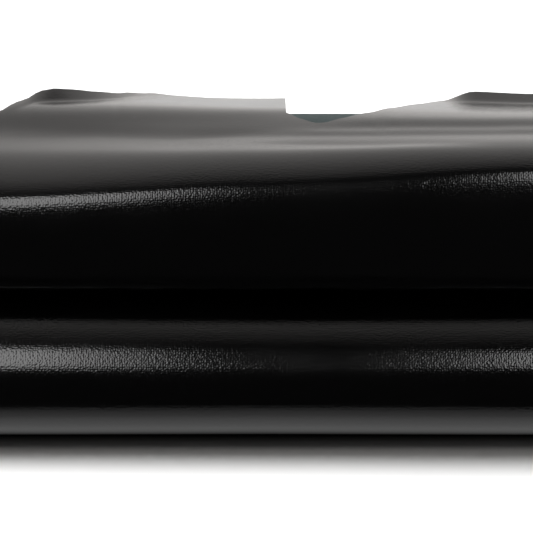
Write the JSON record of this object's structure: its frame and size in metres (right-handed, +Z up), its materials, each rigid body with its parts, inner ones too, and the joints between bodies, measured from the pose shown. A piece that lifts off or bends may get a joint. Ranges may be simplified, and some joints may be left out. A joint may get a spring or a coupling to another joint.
{
  "type": "folded leather hide",
  "caption": "Black grained leather hide with a teal flesh side, loosely folded back and forth, its far cut edge notched and turned up.",
  "frame": {"origin": "middle of the footprint of the folded hide, on the surface it rests on", "axes": "+X along the folds, to the right as seen from the front; +Y from the front folds to the back fold; +Z up"},
  "size_m": [0.4, 0.2098, 0.1327],
  "materials": {
    "hide": "glossy grained black, with a matt teal flesh side"
  },
  "bodies": {
    "root": {"hide": "hide"}
  },
  "joints": []
}
